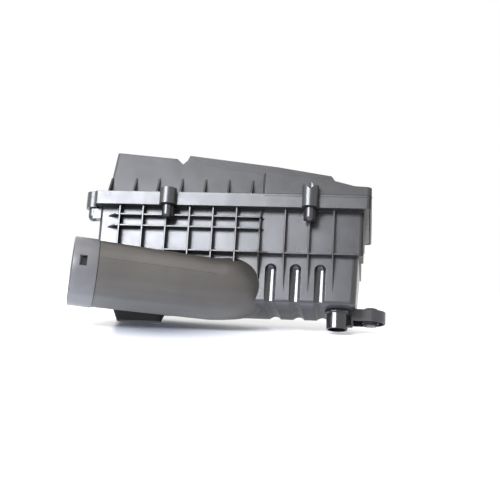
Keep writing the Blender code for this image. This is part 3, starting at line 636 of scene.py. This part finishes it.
def make_floor():
    """White table under the tipped housing; it fades out so no edge or horizon shows.

    Its paint is darker near the rest foot, to deepen the shadow there. Shadow rays pass through
    it, so that the glow from below reaches the underside.
    """
    shape = bmesh.new()
    outline = ((-1, -1), (1, -1), (1, 1), (-1, 1))
    shape.faces.new([shape.verts.new(in_room(x * FLOOR_HALF, y * FLOOR_HALF, 0.0))
                     for x, y in outline])
    mesh = bpy.data.meshes.new("floor")
    shape.to_mesh(mesh)
    shape.free()
    floor = link(bpy.data.objects.new("floor", mesh))
    shader = Shader("white_table")
    distance = shader.add("ShaderNodeVectorMath", operation="LENGTH")
    shader.link(shader.place, distance.inputs[0])
    from_foot = shader.add("ShaderNodeVectorMath", operation="DISTANCE")
    shader.link(shader.place, from_foot.inputs[0])
    from_foot.inputs[1].default_value = SHADE_CENTRE
    away = shader.ranged(from_foot.outputs["Value"], 0.0, 1.0, *SHADE_REACH)
    shader.set(Base_Color=shader.blend(away, SHADE_COLOUR, TABLE_COLOUR), Roughness=0.22)
    fade = shader.ranged(distance.outputs["Value"], 0.0, 1.0, *FLOOR_FADE)
    below = shader.add("ShaderNodeNewGeometry").outputs["Backfacing"]
    lets_light_up = shader.add("ShaderNodeLightPath").outputs["Is Shadow Ray"]
    clear = None
    for passes in (below, lets_light_up):
        either = shader.add("ShaderNodeMath", operation="MAXIMUM")
        shader.link(clear.outputs[0] if clear else fade, either.inputs[0])
        shader.link(passes, either.inputs[1])
        clear = either
    see_through = shader.add("ShaderNodeBsdfTransparent")
    mixed = shader.add("ShaderNodeMixShader")
    shader.link(clear.outputs[0], mixed.inputs[0])
    shader.link(shader.bsdf.outputs[0], mixed.inputs[1])
    shader.link(see_through.outputs[0], mixed.inputs[2])
    shader.link(mixed.outputs[0], shader.tree.nodes["Material Output"].inputs["Surface"])
    mesh.materials.append(shader.material)


def soft_box(name, azimuth, elevation, distance, size, power, colour):
    """A rectangular studio light, aimed at the housing.

    Azimuth 0 is the front and positive is to the right, both angles in degrees.
    """
    swing, climb = radians(azimuth), radians(elevation)
    aim = in_room(0.0, 0.0, LIGHTS_AIM_UP)
    towards = in_room(sin(swing) * cos(climb), -cos(swing) * cos(climb), sin(climb))
    place = aim + towards * distance
    data = bpy.data.lights.new(name, "AREA")
    data.shape = "RECTANGLE"
    data.size, data.size_y = size
    data.energy = power
    data.color = colour
    lamp = link(bpy.data.objects.new(name, data))
    lamp.rotation_mode = "QUATERNION"
    lamp.location = place
    lamp.rotation_quaternion = (place - aim).to_track_quat("Z", "Y")


def make_world():
    """White to the camera; to the surfaces a grey studio, dark below the table's level."""
    world = bpy.data.worlds.new("studio")
    world.use_nodes = True
    bpy.context.scene.world = world
    tree = world.node_tree
    nodes, links = tree.nodes, tree.links
    back = nodes["Background"]
    back.inputs["Color"].default_value = (1.0, 1.0, 1.0, 1.0)
    back.inputs["Strength"].default_value = 1.0
    coordinates = nodes.new("ShaderNodeTexCoord")
    height = nodes.new("ShaderNodeVectorMath")
    height.operation = "DOT_PRODUCT"
    height.inputs[1].default_value = ROOM_UP
    links.new(coordinates.outputs["Generated"], height.inputs[0])
    ramp = nodes.new("ShaderNodeValToRGB")
    spread = nodes.new("ShaderNodeMapRange")
    spread.inputs["From Min"].default_value = -1.0
    links.new(height.outputs["Value"], spread.inputs["Value"])
    links.new(spread.outputs["Result"], ramp.inputs["Fac"])
    band = ramp.color_ramp
    while len(band.elements) < len(SKY):
        band.elements.new(0.5)
    for element, (position, colour) in zip(band.elements, SKY):
        element.position = position
        element.color = (*colour, 1.0)
    surroundings = nodes.new("ShaderNodeBackground")
    surroundings.inputs["Strength"].default_value = SKY_STRENGTH
    links.new(ramp.outputs["Color"], surroundings.inputs["Color"])
    seen = nodes.new("ShaderNodeLightPath")
    mixed = nodes.new("ShaderNodeMixShader")
    links.new(seen.outputs["Is Camera Ray"], mixed.inputs[0])
    links.new(surroundings.outputs[0], mixed.inputs[1])
    links.new(back.outputs[0], mixed.inputs[2])
    links.new(mixed.outputs[0], nodes["World Output"].inputs["Surface"])


def make_room():
    make_world()
    make_floor()
    soft_box("key_left", azimuth=-32.0, elevation=32.0, distance=2.2, size=(1.4, 0.75),
             power=146.0, colour=(0.89, 0.92, 1.0))
    soft_box("top_fill", azimuth=10.0, elevation=80.0, distance=2.0, size=(1.6, 1.2),
             power=12.0, colour=(1.0, 0.97, 0.93))
    soft_box("table_glow", azimuth=-60.0, elevation=-72.0, distance=0.6, size=(0.7, 0.5),
             power=13.0, colour=(0.84, 0.91, 1.0))
    bpy.context.scene.view_settings.view_transform = "Standard"


# ---------------------------------------------------------------- build

make_camera()
make_room()
make_shells()
make_details()
dress_nodes()
